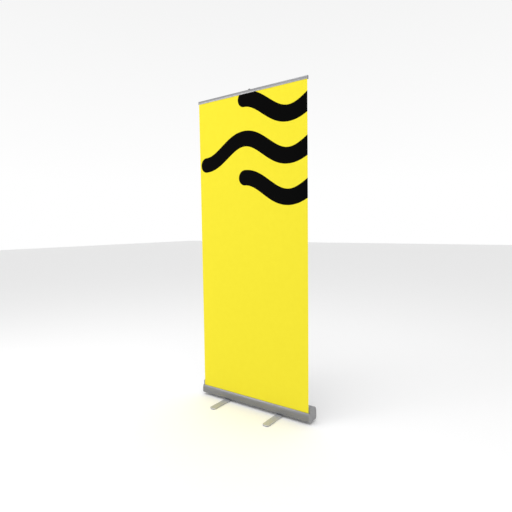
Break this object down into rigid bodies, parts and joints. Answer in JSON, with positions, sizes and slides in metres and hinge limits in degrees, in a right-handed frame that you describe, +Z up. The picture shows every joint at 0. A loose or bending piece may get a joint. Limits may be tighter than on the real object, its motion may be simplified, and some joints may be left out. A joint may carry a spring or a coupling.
{
  "type": "roll-up banner stand",
  "caption": "Retractable banner stand: a spring-roller floor housing on swivel feet, a telescoping pole and a clamp rail that hold up a tall printed film.",
  "frame": {"origin": "on the floor, under the middle of the box that holds the whole stand", "axes": "+X along the banner to its right as seen from the front, -Y towards the viewer of the banner, +Z up"},
  "size_m": [0.874, 0.287, 2.096],
  "materials": {
    "anodised_grey": "satin anodised extrusion",
    "cap_plastic": "fine-textured moulded plastic",
    "black_plastic": "fine-textured moulded plastic",
    "nylon": "natural nylon",
    "zinc_steel": "zinc-plated steel",
    "spring_steel": "oiled spring steel",
    "foot_silver": "satin anodised, lightly brushed along its length",
    "pole_silver": "satin drawn tube",
    "rail_silver": "satin anodised extrusion",
    "rubber_pad": "matt rubber",
    "film": "matt printed film, yellow with a black graphic, grey back"
  },
  "bodies": {
    "base": {"housing": "anodised_grey", "end_cap_left": "cap_plastic", "end_cap_right": "cap_plastic", "end_cap_screws": "zinc_steel", "pole_socket": "black_plastic", "foot_plate_left": "zinc_steel", "foot_plate_right": "zinc_steel", "pivot_bolts": "zinc_steel", "pivot_washers": "nylon", "pivot_spring_washers": "spring_steel", "pivot_nuts": "zinc_steel", "idler_bracket": "zinc_steel", "spindle_bracket": "zinc_steel", "spindle": "zinc_steel", "spring_anchor": "black_plastic", "roller_spring": "spring_steel"},
    "roller": {"roller_tube": "pole_silver", "idler_plug": "black_plastic", "idler_pin": "zinc_steel", "bearing_plug": "black_plastic", "spring_drive_plug": "black_plastic", "film_wrap": "film"},
    "foot_left": {"foot_left": "foot_silver", "foot_left_pads": "rubber_pad"},
    "foot_right": {"foot_right": "foot_silver", "foot_right_pads": "rubber_pad"},
    "pole_lower": {"pole_lower_tube": "pole_silver", "pole_base_plug": "black_plastic", "lower_collet": "nylon"},
    "lower_collar": {"lower_lock_collar": "black_plastic"},
    "pole_middle": {"pole_middle_tube": "pole_silver", "middle_bush": "nylon", "upper_collet": "nylon"},
    "upper_collar": {"upper_lock_collar": "black_plastic"},
    "pole_top": {"pole_top_tube": "pole_silver", "top_bush": "nylon", "pole_hook": "black_plastic", "hook_screw": "zinc_steel"},
    "rail": {"rail_back": "rail_silver", "rail_grip_strip": "rubber_pad", "rail_cap_left": "cap_plastic", "rail_cap_right": "cap_plastic", "rail_catch": "black_plastic", "rail_catch_rivets": "zinc_steel", "banner": "film"},
    "jaw": {"rail_jaw": "rail_silver"}
  },
  "joints": [
    {"name": "foot_left_swivel", "type": "hinge", "parent": "base", "child": "foot_left", "pos_m": [-0.214, 0.0635, 0.0055], "axis": [0, 0, 1], "range_deg": [0, 90]},
    {"name": "foot_right_swivel", "type": "hinge", "parent": "base", "child": "foot_right", "pos_m": [0.214, 0.0635, 0.0055], "axis": [0, 0, 1], "range_deg": [-90, 0]},
    {"name": "pole_lift", "type": "slide", "parent": "base", "child": "pole_lower", "axis": [0, 0, 1], "range_m": [0, 0.04]},
    {"name": "lower_collar_twist", "type": "hinge", "parent": "pole_lower", "child": "lower_collar", "pos_m": [0, 0.0555, 0.772], "axis": [0, 0, 1], "range_deg": [0, 90]},
    {"name": "pole_middle_slide", "type": "slide", "parent": "pole_lower", "child": "pole_middle", "axis": [0, 0, 1], "range_m": [-0.61, 0]},
    {"name": "upper_collar_twist", "type": "hinge", "parent": "pole_middle", "child": "upper_collar", "pos_m": [0, 0.0555, 1.426], "axis": [0, 0, 1], "range_deg": [0, 90]},
    {"name": "pole_top_slide", "type": "slide", "parent": "pole_middle", "child": "pole_top", "axis": [0, 0, 1], "range_m": [-0.61, 0], "deforming": ["banner"]},
    {"name": "rail_lift", "type": "slide", "parent": "pole_top", "child": "rail", "axis": [0, 0, 1], "range_m": [0, 0.021]},
    {"name": "jaw_open", "type": "hinge", "parent": "rail", "child": "jaw", "pos_m": [0, 0.0273, 2.0834], "axis": [-1, 0, 0], "range_deg": [0, 35]},
    {"name": "roller_spin", "type": "hinge", "parent": "base", "child": "roller", "pos_m": [0, 0.0455, 0.04], "axis": [1, 0, 0], "range_deg": [0, 3850], "stiffness_Nm_per_rad": 0.00375, "springref_deg": 6130.65}
  ],
  "couplings": [
    {"joint": "pole_middle_slide", "follows": "pole_top_slide", "ratio": 1},
    {"joint": "roller_spin", "follows": "pole_top_slide", "rad_per_m": -110}
  ]
}
